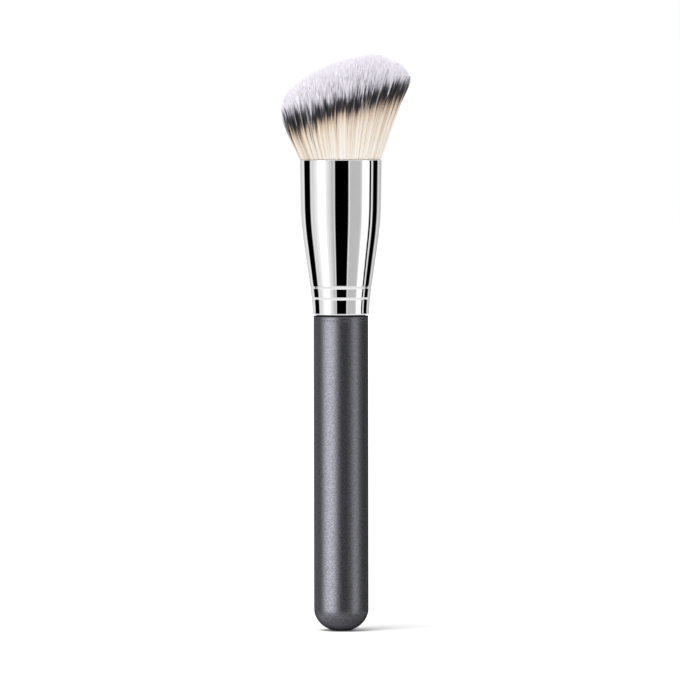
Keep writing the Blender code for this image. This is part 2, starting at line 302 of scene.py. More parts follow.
def skin_finish():
    """Gunmetal skin with a fine pebbled grain of low cells, a metallic lustre and a painted shade line at its
    top edge.
    """
    f = Finish("gunmetal_grained_skin")
    place = f.object_place()
    z = f.split(place)[2]
    place = f.stretched(place, (0.8, 0.8, 1.3))
    drift = f.add("ShaderNodeTexNoise", None, {"Vector": place, "Scale": 1400, "Detail": 1}, "Color")
    drifted = f.mix(SKIN_GRAIN_DRIFT, place, drift, "LINEAR_LIGHT")
    inputs = {"Vector": drifted, "Scale": 2300, "Smoothness": 0.5}
    cells = f.add("ShaderNodeTexVoronoi", {"feature": "SMOOTH_F1"}, inputs)
    grain = cells * 0.6 + f.noise(place, 4000, 2) * 0.55
    colour = f.mix(grain.step(0.25, 0.75), (0.26, 0.261, 0.292), (0.164, 0.165, 0.187))
    # Painted shade: near black at the top edge, for the gap under the ferrule.
    colour = f.mix(z.step(*GAP_SHADE_HEIGHTS), colour, (0.012, 0.012, 0.014))
    rough = 0.22 + 0.04 * f.noise(place, 130, 3)
    f.set(Base_Color=colour, Metallic=0.95, Roughness=rough, Specular_Tint=grey(0.25))
    on_top = 1 - (1 - TOP_GRAIN_SHARE) * z.step(*TOP_GRAIN_HEIGHTS)
    on_dome = DOME_GRAIN_SHARE + (1 - DOME_GRAIN_SHARE) * z.step(*DOME_GRAIN_HEIGHTS)
    return f.set(Normal=f.bump((1 - grain) * on_top * on_dome, SKIN_GRAIN)).material


def wood_finish():
    """Dark-stained turned wood: long fibres and fine pores along the grain. Its dark colour is also painted
    shade for the gap under the ferrule.
    """
    f = Finish("stained_dowel_wood")
    along = f.stretched(f.object_place(), (1, 1, 0.06))
    fibres = f.noise(along, 900, 4, 0.6, 0.6)
    pores = f.noise(along, 4200, 2).step(0.55, 0.7)
    # Painted shade: nearly black so that the gap under the ferrule reads dark.
    colour = f.ramp(fibres, [(0.3, (0.012, 0.01, 0.009)), (0.75, (0.045, 0.034, 0.028))])
    return f.set(Base_Color=colour, Roughness=0.6 + 0.2 * pores, Normal=f.bump(pores, WOOD_PORES)).material


def resin_finish(name, thin, thick):
    """Set resin with clouded colour, small bubbles and a slightly uneven skin."""
    f = Finish(name)
    place = f.object_place()
    cloud = f.noise(place, 420, 3)
    cells = f.add("ShaderNodeTexVoronoi", {"feature": "F1"}, {"Vector": place, "Scale": 1300})
    bubbles = cells.step(0.08, 0.2)
    colour = f.ramp(cloud, [(0.3, thin), (0.7, thick)])
    f.set(Base_Color=colour, Roughness=0.22 + 0.2 * cloud, Specular_IOR_Level=0.6)
    return f.set(Normal=f.bump(bubbles + 0.4 * cloud, RESIN_RELIEF)).material


def thread_finish():
    """Undyed twisted thread."""
    f = Finish("twisted_binding_thread")
    place = f.object_place()
    x, y, z = f.split(place)
    twist = f.maths("SINE", f.maths("ARCTAN2", y, x) * TWIST_AROUND + z * TWIST_UP)
    fuzz = f.noise(place, 6000, 3)
    colour = f.mix(fuzz, (0.42, 0.36, 0.27), (0.68, 0.62, 0.5))
    return f.set(Base_Color=colour, Roughness=0.9, Normal=f.bump(twist * 0.5 + fuzz, THREAD_RELIEF)).material


# Turned pieces

MERGE_DISTANCE = 1e-7
SKIN_SEGMENTS = 128
FERRULE_SEGMENTS = 192
PLAIN_SEGMENTS = 96


def piece_of(name, bm, finish):
    """Makes the bmesh a smooth piece that rides on the brush."""
    mesh = bpy.data.meshes.new(name)
    bm.to_mesh(mesh)
    bm.free()
    mesh.materials.append(finish)
    mesh.shade_smooth()
    return placed(bpy.data.objects.new(name, mesh))


def placed(piece):
    bpy.context.scene.collection.objects.link(piece)
    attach(piece, "root")
    return piece


def give_attribute(mesh, name, values):
    layer = mesh.attributes.new(name, "FLOAT", "POINT")
    layer.data.foreach_set("value", values.astype(np.float32).ravel())


def turned(outline, segments, closed=False):
    """The surface that an outline (radius, height) sweeps about the brush's axis."""
    bm = bmesh.new()
    verts = [bm.verts.new((radius, 0, height)) for radius, height in outline]
    pairs = list(zip(verts, verts[1:]))
    if closed:
        pairs.append((verts[-1], verts[0]))
    edges = [bm.edges.new(pair) for pair in pairs]
    bmesh.ops.spin(
        bm,
        geom=verts + edges,
        axis=(0, 0, 1),
        cent=(0, 0, 0),
        angle=math.tau,
        steps=segments,
        use_merge=True,
    )
    bmesh.ops.remove_doubles(bm, verts=bm.verts, dist=MERGE_DISTANCE)
    bmesh.ops.recalc_face_normals(bm, faces=bm.faces)
    return bm


def arc(centre, radii, start, end, steps):
    """Points of an ellipse's arc about a centre (radius, height), angles in degrees from straight out."""
    angles = np.radians(np.linspace(start, end, steps + 1))
    return [(centre[0] + radii[0] * math.cos(a), centre[1] + radii[1] * math.sin(a)) for a in angles]


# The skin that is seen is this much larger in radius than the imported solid.
SKIN_PROUD = 0.05 * MM
HANDLE_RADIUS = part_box("handle_skin")[1].x + SKIN_PROUD
SKIN_WALL = 0.5 * MM
SKIN_LIP = 0.08 * MM
END_FLAT = 2.5 * MM
END_FLAT_RING_SHARE = 0.6
END_DOME = 6.8 * MM
# A shallow crease round the skin, by its drop below the handle's top, its reach up and down and its depth.
CREASE_DROP = 1.25 * MM
CREASE_REACH = 0.3 * MM
CREASE_DEPTH = 0.03 * MM


def handle_skin():
    """The grained skin, a thin cup over the wooden core with a domed end that stands on a small flat."""
    centre = END_DOME * math.sqrt(1 - (END_FLAT / HANDLE_RADIUS) ** 2)
    start = -math.degrees(math.asin(centre / END_DOME))
    outer = arc((0, centre), (HANDLE_RADIUS, END_DOME), start, 0, 28)
    bore, inner_dome = HANDLE_RADIUS - SKIN_WALL, END_DOME - SKIN_WALL
    inner_start = -math.degrees(math.asin((centre - SKIN_WALL) / inner_dome))
    inner = arc((0, centre), (bore, inner_dome), inner_start, 0, 16)
    lip = arc((HANDLE_RADIUS - SKIN_LIP, HANDLE_TOP - SKIN_LIP), (SKIN_LIP, SKIN_LIP), 0, 90, 5)
    crease = HANDLE_TOP - CREASE_DROP
    side = [(HANDLE_RADIUS, height) for height in np.linspace(centre, crease - CREASE_REACH, 24)[1:]]
    for share in np.linspace(-1, 1, 9)[1:]:
        dip = CREASE_DEPTH * math.cos(share * math.pi / 2) ** 2
        side.append((HANDLE_RADIUS - dip, crease + CREASE_REACH * share))
    flat = [(0, 0), (END_FLAT_RING_SHARE * END_FLAT, 0)]
    outline = flat + outer + side + lip + [(bore, HANDLE_TOP)] + inner[::-1] + [(0, inner[0][1])]
    skin = piece_of("grained_handle_skin", turned(outline, SKIN_SEGMENTS), skin_finish())
    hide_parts("handle_skin")


FERRULE_LENGTH = MOUTH - FOOT
FERRULE_WALL = 0.4 * MM
FOOT_STEP = 0.3 * MM
FOOT_ROLL = 0.025 * MM
FOOT_ROLL_HEIGHT = 0.17 * MM
COLLAR_HEIGHT = 9.2 * MM
COLLAR_UPRIGHT = 1.1 * MM
COLLAR_FLARE = 0.85 * MM
COLLAR_CURVE = 1.35
CRIMP_DEPTH = 0.18 * MM
# Height of each crimp's bottom above the foot, then how far it reaches below and above that.
CRIMPS = ((4.66 * MM, 0.38 * MM, 0.52 * MM), (7.86 * MM, 0.36 * MM, 0.64 * MM))
CRIMP_CURVE_BELOW = 1.3
CRIMP_CURVE_ABOVE = 1.1
SHOULDER_HEIGHT = 26.8 * MM
SHOULDER_BLEND = 6.0 * MM
MOUTH_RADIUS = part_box("ferrule")[1].x
MOUTH_FLARE = 0.3 * MM
MOUTH_EDGE = 0.2 * MM
SHARP_DEGREES = 50


def collar_radius(height):
    """Radius of the collar at a height above its foot, without its crimps."""
    share = max(0, height - COLLAR_UPRIGHT) / (COLLAR_HEIGHT - COLLAR_UPRIGHT)
    radius = HANDLE_RADIUS + FOOT_STEP + COLLAR_FLARE * share**COLLAR_CURVE
    return radius - FOOT_ROLL * max(0, 1 - height / FOOT_ROLL_HEIGHT) ** 2


def crimp_depth(height):
    """How far the crimps draw the tube in at a height above its foot."""
    for bottom, below, above in CRIMPS:
        if bottom - below < height <= bottom:
            return CRIMP_DEPTH * (1 - (bottom - height) / below) ** CRIMP_CURVE_BELOW
        if bottom < height < bottom + above:
            return CRIMP_DEPTH * (1 - (height - bottom) / above) ** CRIMP_CURVE_ABOVE
    return 0


def ferrule_line():
    """The ferrule's outer line (radius, height above its foot): crimped collar, taper, shoulder, mouth."""
    heights = set(np.linspace(0, COLLAR_HEIGHT, 24)) | {FOOT_ROLL_HEIGHT / 2, FOOT_ROLL_HEIGHT}
    for bottom, below, above in CRIMPS:
        heights = {height for height in heights if not bottom - below < height < bottom + above}
        heights |= set(bottom - below * np.linspace(0, 1, 8)) | set(bottom + above * np.linspace(0, 1, 11))
    line = [(collar_radius(height) - crimp_depth(height), height) for height in sorted(heights)]
    corner = np.array((MOUTH_RADIUS - MOUTH_FLARE, SHOULDER_HEIGHT))
    taper = (corner[0] - line[-1][0]) / (SHOULDER_HEIGHT - COLLAR_HEIGHT)
    mouth = MOUTH_FLARE / (FERRULE_LENGTH - SHOULDER_HEIGHT)
    start = corner - SHOULDER_BLEND * np.array((taper, 1))
    end = corner + SHOULDER_BLEND * np.array((mouth, 1))
    # Points on the straight taper, closer together towards the shoulder, and then the shoulder's curve.
    for share in (0.25, 0.5, 0.75):
        line.append(tuple(share * start + (1 - share) * np.array(line[-1])))
    for share in np.linspace(0, 1, 20):
        point = start * (1 - share) ** 2 + corner * 2 * share * (1 - share) + end * share**2
        line.append(tuple(point))
    return line


def ferrule():
    """The chromed tube, with its two crimps, rolled foot and rounded mouth."""
    line = ferrule_line()
    edge = (MOUTH_RADIUS - MOUTH_EDGE, FERRULE_LENGTH - MOUTH_EDGE)
    mouth = arc(edge, (MOUTH_EDGE, MOUTH_EDGE), 0, 90, 6)
    bore = [(radius - FERRULE_WALL, height) for radius, height in line]
    outline = line + mouth + [(MOUTH_RADIUS - FERRULE_WALL, FERRULE_LENGTH)] + bore[::-1]
    outline = [(radius, FOOT + height) for radius, height in outline]
    bm = turned(outline, FERRULE_SEGMENTS, True)
    tube = piece_of("chromed_ferrule", bm, chrome_finish())
    tube.data.set_sharp_from_angle(angle=math.radians(SHARP_DEGREES))
    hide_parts("ferrule")


# Radius and height above the roots' lower end, in mm.
ROOT_FOOT = [(0.0, 0.0), (9.75, 0.0), (10.05, 1.45)]
ROOT_WAIST = [(9.7, 2.0), (9.7, 7.5)]
ROOT_STALK = [(10.7, 8.05), (11.0, 12.0), (11.2, 17.0), (11.3, 21.0), (0.0, 21.0)]


def packed_roots():
    """The filaments' roots, packed and soaked in resin, which the thread draws in at a waist."""
    outline = [(radius * MM, ROOTS + height * MM) for radius, height in ROOT_FOOT + ROOT_WAIST + ROOT_STALK]
    piece_of("packed_roots", turned(outline, PLAIN_SEGMENTS), root_finish())


# Form of the tuft

RIM_HEIGHT = 18.7 * MM
RIM_SLANT = 4.4 * MM
# Place along the tuft's middle, from its short side, -1, to its long side, 1, and height of the tips in mm.
CREST = [(-1, 14.3), (-0.93, 16.6), (-0.83, 19), (-0.7, 21.4), (-0.53, 23.7), (-0.32, 26.1), (-0.1, 28.4)]
CREST += [(0.09, 29.6), (0.3, 30.8), (0.42, 31.2), (0.5, 30.9), (0.65, 29.6), (0.77, 28.4), (0.85, 27.3)]
CREST += [(0.9, 26.1), (0.957, 24.9), (1, 23.1)]
# The dome's power from crest to rim, on the long side, and what the short side adds to it.
DOME_CURVE = 0.5
DOME_CURVE_SHORT_SIDE = 0.12
LEAST_CHORD = 1e-6
# The filaments start inside the mouth, spill over its rim up to a height above it and fan out from there.
FILAMENT_START = -0.25 * MM
SPILL_TOP = 0.4 * MM
SPILL = 0.62 * MM
START_RADIUS = 11.5 * MM
FAN = 0.0308 / MM
# Height above the mouth and how far the filaments stand over to the short side there, in mm: all of them, then
# what those on the short side add, then what those on the long side take back.
SET_OF_ALL = [(0, 0), (1.5, 0.45)]
SET_OF_SHORT_SIDE = [(0, 0), (6, 0.3), (10, 0.3), (14, -0.12)]
SET_OF_LONG_SIDE = [(17, 0), (21, 0.3)]
# Filaments lose light with their depth from the side or from above, whichever is less, each with its weight.
# Depth from the side counts in full where the tuft has this radius.
DEPTH_FROM_SIDE = 1.6
DEPTH_FROM_ABOVE = 0.8
DEPTH_OF_TIPS = 0.1 * MM
FULL_SHADE_DEPTH = 1.9 * MM
FULL_SHADE_RADIUS = 17 * MM
SHADE_CURVE = 0.8


def rise(value, low, high):
    """0 below low, 1 above high and an even rise between them."""
    return np.clip((value - low) / (high - low), 0, 1)


def read_off(points, place):
    """The amount at this place on an even line through points (place, amount)."""
    return np.interp(place, *zip(*points))


def tip_heights(u, v):
    """Height of each tip above the mouth, for roots (u, v) in the unit disc: a slanted rim and a dome."""
    rim = RIM_HEIGHT + RIM_SLANT * u
    crest = read_off(CREST, u) * MM
    left = np.clip(1 - u**2 - v**2, 0, 1) / np.clip(1 - u**2, LEAST_CHORD, 1)
    return rim + (crest - rim) * left ** (DOME_CURVE + DOME_CURVE_SHORT_SIDE * (1 - u))


def fan_radius(height):
    """Radius of the tuft at a height above the mouth, where it spills over the rim and then fans out."""
    spill = SPILL * rise(height, FILAMENT_START, SPILL_TOP)
    return (START_RADIUS + spill) * (1 + FAN * np.clip(height, 0, None))


def set_over(u, height):
    """How far the filaments are set over at a height above the mouth: to the right, or below 0 to the left."""
    lines = (SET_OF_ALL, SET_OF_SHORT_SIDE, SET_OF_LONG_SIDE)
    of_all, of_short_side, of_long_side = (read_off(line, height / MM) for line in lines)
    return (np.clip(u, 0, 1) * of_long_side - np.clip(-u, 0, 1) * of_short_side - of_all) * MM


def depth_shade(paths):
    """How much light each path point loses to the filaments round it, from 0 at the surface to 1."""
    x, y, height = paths[..., 0], paths[..., 1], paths[..., 2] - MOUTH
    radius = fan_radius(height)
    u, v = (x - set_over(x / radius, height)) / radius, y / radius
    inset = (1 - np.hypot(u, v)) * radius * (radius / FULL_SHADE_RADIUS) ** 2
    outside = np.maximum(1, np.hypot(u, v))
    cover = tip_heights(u / outside, v / outside) - height
    depth = np.minimum(inset * DEPTH_FROM_SIDE, cover * DEPTH_FROM_ABOVE + DEPTH_OF_TIPS)
    return rise(depth, 0, FULL_SHADE_DEPTH) ** SHADE_CURVE


MIDDLE_SEED = 5
MIDDLE_SEGMENTS = 160
# The middle takes this share of the tuft's radius, and its wall this share of its own height.
MIDDLE_SHARE = 0.88
MIDDLE_WALL_TOP_SHARE = 0.88
MIDDLE_FOOT = 0.3 * MM
MIDDLE_UNDER_TIPS = 3.2 * MM
# Painted shade of the middle's top and wall, as a tone, and its random mottle.
MIDDLE_SHADE = 0.5
MIDDLE_WALL_SHADE = 0.85
MIDDLE_MOTTLE = 0.16


def packed_middle():
    """The tuft's packed middle, mottled like filament ends and toned dark as painted shade, which closes the
    view down between them.
    """
    rng = np.random.default_rng(MIDDLE_SEED)
    top = [(share, 1) for share in np.linspace(0, MIDDLE_SHARE, 45)]
    wall = [(MIDDLE_SHARE, level) for level in np.linspace(MIDDLE_WALL_TOP_SHARE, 0, 8)]
    bm = turned(top + wall + [(0, 0)], MIDDLE_SEGMENTS)
    u, v, level = np.array([vert.co for vert in bm.verts]).T
    height = MIDDLE_FOOT + (tip_heights(u, v) - MIDDLE_UNDER_TIPS - MIDDLE_FOOT) * level
    x, y = fan_radius(height) * u + set_over(u, height), fan_radius(height) * v
    for vert, place in zip(bm.verts, np.stack([x, y, height + MOUTH], 1)):
        vert.co = place
    mottled_shade = rng.normal(np.where(level > 0.99, MIDDLE_SHADE, MIDDLE_WALL_SHADE), MIDDLE_MOTTLE)
    middle = piece_of("packed_middle", bm, filament_finish())
    give_attribute(middle.data, "tone", np.clip(mottled_shade, 0, 1))
    middle.visible_diffuse = False


# Filaments

TUFT_SEED = 33
FILAMENTS_A_PIECE = 6000
FILAMENT_PIECES = ("filaments_inner", "filaments_middle", "filaments_outer", "filaments_rim")
FILAMENT_SIDES = 3
FILAMENT_RADIUS = 0.068 * MM
# Shares of a filament's length at which its tube has a ring of corners, close together near the tip.
STEP_SHARES = (0, 0.06, 0.42, 0.72, 0.9, 1)
# Share of a filament's length, and the share of its full thickness or tone there. The tone falls towards the
# tip as painted light on the pale tips.
TAPER_SHARES = [(0, 1), (0.5, 1.05), (0.8, 0.95), (0.92, 0.8), (1, 0.35)]
TONE_AND_TIP_LIGHT_SHARES = [(0, 0.8), (0.42, 0.85), (0.72, 1), (0.9, 0.85), (1, 0.2)]
# Filaments draw together in locks and, more tightly, in wisps. Jitter moves each off its place on the spiral.
LOCKS = 900
WISPS = 5000
ROOT_JITTER = 0.35
GROUP_JITTER = 0.6
LOCK_PULL = 0.08
WISP_PULL = 0.45
PULL_CURVE = 1.5
# A filament is in a gap between locks by its distance to the nearest, as a share of that to the next.
GAP_SHARES = (0.75, 1)
# The roots reach this share of the tuft's radius, but for a few thin undyed filaments beyond it.
BODY_SHARE = 0.985
HALO_SHARE = 0.007
HALO_ROOT_SHARE = 0.9
HALO_THINNESS = 0.6
HALO_TONE = 0.3
# Random spreads. A pair is what a lock's filaments share, then each one's own. The shifts of dye are in mm.
LEAN_SPREADS = (0.1 * MM, 0.06 * MM)
REACH_SPREADS = (0.09 * MM, 0.12 * MM)
BOW_SPREAD = 0.22 * MM
SHIFT_SPREADS = (0.08, 0.12)
WISP_SHIFT_SPREAD = 0.62
TONE_SPREAD = 0.06
LEAN_CURVE = 1.6
# How far a filament reaches past its place on the dome, and what its wisp and a gap add to that.
REACH = -0.07 * MM
REACH_OF_WISP = 0.05 * MM
REACH_IN_GAP = -0.2 * MM
# A filament's tone, from 0, pale, to 1, darkest, and what adds to it: its wisp's random tone, and painted shade
# for short wisps, gaps between locks and depth.
TONE = -0.19
TONE_OF_WISP = 0.47
SHADE_OF_WISP_REACH = -0.5
SHADE_IN_GAP = 0.15
SHADE_OF_DEPTH = 0.75
TONE_OF_UNDYED = -0.35
# The short side, where the dye is less even, begins at the first of these places across the unit disc and is
# full at the second.
SHORT_SIDE_PLACES = (0.1, -0.5)
SHORT_SIDE_SHIFT = 0.4
# Share of the wisps whose white reaches down into the band, what the short side adds, and how far in mm.
WHITE_LOW_SHARE = 0.006
WHITE_LOW_SHORT_SIDE_SHARE = 0.055
WHITE_LOW_SHIFTS = (2, 4.5)
UNDYED_SHARE = 0.03
STRAY_SHARE = 0.02
STRAY_LEAN_SPREAD = 0.3 * MM
STRAY_SHIFTS = (-2, 3)
# How far to the right a filament stands at the step nearest to the band, and the shift of dye that bends the
# band there, in mm.
BAND_BEND = [(-4, 0.38), (0, 0), (8, 0), (14, -0.5)]
BAND_STEP = 3


def nearest(points, centres):
    """The nearest centre to each point and its distance as a share of that to the next nearest."""
    tree = KDTree(len(centres))
    for i, place in enumerate(centres):
        tree.insert((*place, 0), i)
    tree.balance()
    found = [tree.find_n((*point, 0), 2) for point in points]
    return np.array([one[1] for one, _ in found]), np.array([one[2] / two[2] for one, two in found])


def disc_points(count, jitter, rng):
    """Points spread evenly over the unit disc on a sunflower spiral, each moved a little."""
    i = np.arange(count) + 0.5
    radius = np.sqrt(i / count)
    angle = i * math.pi * (3 - math.sqrt(5))
    points = np.stack([radius * np.cos(angle), radius * np.sin(angle)], 1)
    points += rng.normal(0, jitter / math.sqrt(count), points.shape)
    length = np.linalg.norm(points, axis=1)
    return points / np.maximum(1, length)[:, None]


def filament_roots(rng):
    """The filaments' places in the unit disc, and which of them stand out beyond the rest."""
    roots = disc_points(FILAMENTS_A_PIECE * len(FILAMENT_PIECES), ROOT_JITTER, rng) * BODY_SHARE
    halo = rng.random(len(roots)) < HALO_SHARE * (np.hypot(*roots.T) > HALO_ROOT_SHARE)
    roots[halo] *= (rng.uniform(BODY_SHARE, 1, halo.sum()) / np.hypot(*roots[halo].T))[:, None]
    return roots, halo


def wisp_traits(wisps, rng):
    """How far each wisp reaches, its tone, random with painted shade for the shorter wisps, the shift of its
    dye and whether it is undyed.
    """
    reach = rng.normal(0, 1, WISPS)
    tone = rng.exponential(1, WISPS) + SHADE_OF_WISP_REACH * reach
    short_side = rise(wisps[:, 0], *SHORT_SIDE_PLACES)
    shift = rng.laplace(0, WISP_SHIFT_SPREAD, WISPS) * (1 + SHORT_SIDE_SHIFT * short_side)
    white_low = rng.random(WISPS) < WHITE_LOW_SHARE + WHITE_LOW_SHORT_SIDE_SHARE * short_side
    shift[white_low] += rng.uniform(*WHITE_LOW_SHIFTS, white_low.sum())
    undyed = rng.random(WISPS) < UNDYED_SHARE * short_side**2
    shift[undyed] = UNDYED
    return reach, tone, shift, undyed


def scattered(lock, spreads, rng, *axes):
    """A random amount that a lock's filaments share, plus one of each filament's own."""
    shared, own = spreads
    return rng.normal(0, shared, (LOCKS, *axes))[lock] + rng.normal(0, own, (len(lock), *axes))


def filament_paths(roots, pull, lean, reach, rng):
    """Centre points of each filament, one row a filament, from inside the mouth to its tip."""
    along = np.array(STEP_SHARES)
    tips = tip_heights(*roots.T) + reach
    heights = FILAMENT_START + along * (tips - FILAMENT_START)[:, None]
    heights[:, 1] = SPILL_TOP
    bow = along * (1 - along) * rng.normal(0, BOW_SPREAD, (len(roots), 1))
    turn = rng.uniform(0, math.tau, (len(roots), 1))
    pulled = roots[:, None] + pull[:, None] * (along**PULL_CURVE)[:, None]
    across = fan_radius(heights)[..., None] * pulled + lean[:, None] * (along**LEAN_CURVE)[:, None]
    across += bow[..., None] * np.stack([np.cos(turn), np.sin(turn)], 2)
    across[..., 0] += set_over(roots[:, :1], heights)
    return np.concatenate([across, heights[..., None] + MOUTH], 2)


def filament_template():
    """One filament's mesh, a closed tube in steps, with its places across and along in a UV map."""
    bm = bmesh.new()
    bmesh.ops.create_cone(bm, cap_ends=True, segments=FILAMENT_SIDES, radius1=1, radius2=1, depth=1)
    long_edges = [edge for edge in bm.edges if abs(edge.verts[0].co.z - edge.verts[1].co.z) > 0.5]
    bmesh.ops.subdivide_edges(bm, edges=long_edges, cuts=len(STEP_SHARES) - 2, use_grid_fill=False)
    uv = bm.loops.layers.uv.new("OFBake")
    for face in bm.faces:
        turns = [math.atan2(loop.vert.co.y, loop.vert.co.x) / math.tau for loop in face.loops]
        sides = [round(turn * FILAMENT_SIDES % FILAMENT_SIDES, 1) % FILAMENT_SIDES for turn in turns]
        face.smooth = len(face.verts) == 4
        wraps = face.smooth and max(sides) - min(sides) > FILAMENT_SIDES / 2
        for loop, side in zip(face.loops, sides):
            if wraps and side < FILAMENT_SIDES / 2:
                side += FILAMENT_SIDES
            loop[uv].uv = (side / (FILAMENT_SIDES + 0.5), loop.vert.co.z + 0.5)
    mesh = bpy.data.meshes.new("filament")
    bm.to_mesh(mesh)
    bm.free()
    return mesh


def template_corners(template):
    """The step along the filament at which each corner of its mesh lies, and the corner's angle round it."""
    x, y, z = np.array([vert.co for vert in template.vertices]).T
    return np.rint((z + 0.5) * (len(STEP_SHARES) - 1)).astype(int), np.arctan2(y, x)


def tube_points(paths, radius, turn, steps, angles):
    """Places of the template's corners on each path, one row a filament."""
    direction = paths[:, -1] - paths[:, 0]
    direction /= np.linalg.norm(direction, axis=1)[:, None]
    first = np.cross(direction, (0, 1, 0))
    first /= np.linalg.norm(first, axis=1)[:, None]
    second = np.cross(direction, first)
    at = angles + turn[:, None]
    ring = np.cos(at)[..., None] * first[:, None] + np.sin(at)[..., None] * second[:, None]
    thickness = radius[:, None] * read_off(TAPER_SHARES, STEP_SHARES)[steps]
    return paths[:, steps] + thickness[..., None] * ring


def repeated(mesh, count):
    """A mesh that holds this many copies of another, one after the other."""
    source = bpy.data.objects.new("filament", mesh)
    bpy.context.scene.collection.objects.link(source)
    array = source.modifiers.new("copies", "ARRAY")
    array.count = count
    array.use_relative_offset = False
    bpy.context.view_layer.update()
    graph = bpy.context.evaluated_depsgraph_get()
    copies = bpy.data.meshes.new_from_object(source.evaluated_get(graph))
    bpy.data.objects.remove(source)
    return copies


MAP_ROWS = 4
# Bare margins of a filament's column in the map, as shares of it, and the dye's heights that it shows, in mm.
MAP_MARGIN_ACROSS = 0.05
MAP_MARGIN_ALONG = 0.02
MAP_HEIGHTS = (-8, 40)


def set_bake_map(mesh, points, template):
    """Gives each filament its own column of the UV map, with the band at one height in all columns."""
    loops = np.zeros(len(template.loops) * 2, np.float32)
    template.uv_layers["OFBake"].uv.foreach_get("vector", loops)
    loop_corners = [loop.vertex_index for loop in template.loops]
    columns = len(points) // MAP_ROWS
    row, column = np.divmod(np.arange(len(points)), columns)
    dye = (points[:, :, 2] - MOUTH) / MM - BAND_SLANT * points[:, :, 0] / MM
    place = rise(dye[:, loop_corners], *MAP_HEIGHTS)
    across = column[:, None] + MAP_MARGIN_ACROSS + (1 - 2 * MAP_MARGIN_ACROSS) * loops[::2]
    along = row[:, None] + MAP_MARGIN_ALONG + (1 - 2 * MAP_MARGIN_ALONG) * place
    uv = np.stack([across / columns, along / MAP_ROWS], 2)
    mesh.uv_layers["OFBake"].uv.foreach_set("vector", uv.astype(np.float32).ravel())


def filament_piece(name, template, points, tone, shift, finish):
    """A piece of filaments: copies of the template with their corners at these points, one row each."""
    mesh = repeated(template, len(points))
    mesh.name = name
    mesh.vertices.foreach_set("co", points.astype(np.float32).ravel())
    give_attribute(mesh, "tone", tone)
    give_attribute(mesh, "dye_shift", np.repeat(shift, len(template.vertices)))
    set_bake_map(mesh, points, template)
    mesh.materials.append(finish)
    mesh.update()
    piece = placed(bpy.data.objects.new(name, mesh))
    # Soft light reaches all filaments, and the tone that comes with depth stands for what they lose of it.
    piece.visible_diffuse = False
    return piece


def tuft():
    """Thousands of fine filaments that fan out of the ferrule over their packed roots, in locks and wisps."""
    rng = np.random.default_rng(TUFT_SEED)
    roots, halo = filament_roots(rng)
    locks, wisps = disc_points(LOCKS, GROUP_JITTER, rng), disc_points(WISPS, GROUP_JITTER, rng)
    (lock, lock_side), (wisp, _) = nearest(roots, locks), nearest(roots, wisps)
    gap = rise(lock_side, *GAP_SHARES)
    wisp_reach, wisp_tone, wisp_shift, undyed = wisp_traits(wisps, rng)

    lean = scattered(lock, LEAN_SPREADS, rng, 2)
    reach = scattered(lock, REACH_SPREADS, rng)
    reach += REACH + REACH_OF_WISP * wisp_reach[wisp] + REACH_IN_GAP * gap
    pull = (wisps[wisp] - roots) * WISP_PULL + (locks[lock] - roots) * LOCK_PULL
    stray = rng.random(len(roots)) < STRAY_SHARE
    lean[stray] += rng.normal(0, STRAY_LEAN_SPREAD, (stray.sum(), 2))
    paths = filament_paths(roots, pull, lean, reach, rng)

    # Painted shade: filaments in gaps between locks, in short wisps and deep in the tuft get a darker tone.
    tone = TONE + TONE_OF_WISP * wisp_tone[wisp] + SHADE_IN_GAP * gap
    tone += rng.normal(0, TONE_SPREAD, len(roots))
    tone[halo] = HALO_TONE
    tone[undyed[wisp]] += TONE_OF_UNDYED
    tone = tone[:, None] + SHADE_OF_DEPTH * depth_shade(paths)
    # Painted light: the tone falls towards each tip.
    tone = np.clip(tone * read_off(TONE_AND_TIP_LIGHT_SHARES, STEP_SHARES), 0, 1)
    shift = wisp_shift[wisp] + scattered(lock, SHIFT_SPREADS, rng)
    shift[stray] += rng.uniform(*STRAY_SHIFTS, stray.sum())
    shift[halo] = UNDYED
    shift += read_off(BAND_BEND, paths[:, BAND_STEP, 0] / MM)

    radius = FILAMENT_RADIUS * np.where(halo, HALO_THINNESS, 1)
    template = filament_template()
    steps, angles = template_corners(template)
    finish = filament_finish()
    for number, name in enumerate(FILAMENT_PIECES):
        first = number * FILAMENTS_A_PIECE
        held = roots[first : first + FILAMENTS_A_PIECE]
        order = first + np.argsort(np.arctan2(held[:, 1], held[:, 0]))
        turn = rng.uniform(0, math.tau, len(order))
        points = tube_points(paths[order], radius[order], turn, steps, angles)
        piece = filament_piece(name, template, points, tone[order][:, steps], shift[order], finish)
        if number == 0:
            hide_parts("bristle_tuft")
    bpy.data.meshes.remove(template)


# Stage

# Brightness round the brush as its gloss shows it, by azimuth from the front, in degrees to the right.
SURROUND = [
    (-180, 0.95),
    (-152, 0.64),
    (-129, 0.9),
    (-126, 0.0),
    (-99, 0.0),
    (-96, 0.8),
    (-86, 0.72),
    (-69, 1.02),
    (-55, 4.2),
    (-49, 4.8),
    (-46, 1.02),
    (-26, 0.57),
    (-20.2, 0.46),
    (-19.3, 0.88),
    (-17.8, 0.88),
    (-16.3, 0.0),
    (21.8, 0.0),
    (23.3, 0.88),
    (25.2, 0.88),
    (26.3, 0.53),
    (56, 0.54),
    (61, 0.62),
    (70, 1.5),
    (88.5, 1.08),
    (91.5, 0.0),
    (97, 0.0),
    (98.5, 0.9),
    (104, 0.7),
    (106.5, 0.0),
    (127, 0.0),
    (134, 0.76),
    (150, 0.52),
]
# It gives way to a plain ceiling above and a plain floor below, between these sines of the angle up or down.
SURROUND_EDGE = (0.36, 0.52)
CEILING_TONE = 0.95
UNDER_TONE = 0.75
# Soft light on all that isn't gloss, brightest from this direction.
SOFT_FROM = (-0.65, -0.62, 0.43)
SOFT_LOW = 0.5
SOFT_HIGH = 1.12
LIGHT_PATHS = ("Is Camera Ray", "Is Glossy Ray", "Is Transmission Ray")


def share_of_turn(degrees):
    """An azimuth in degrees as the share of a turn that a shader's azimuth gives."""
    return (degrees + 180) / 360


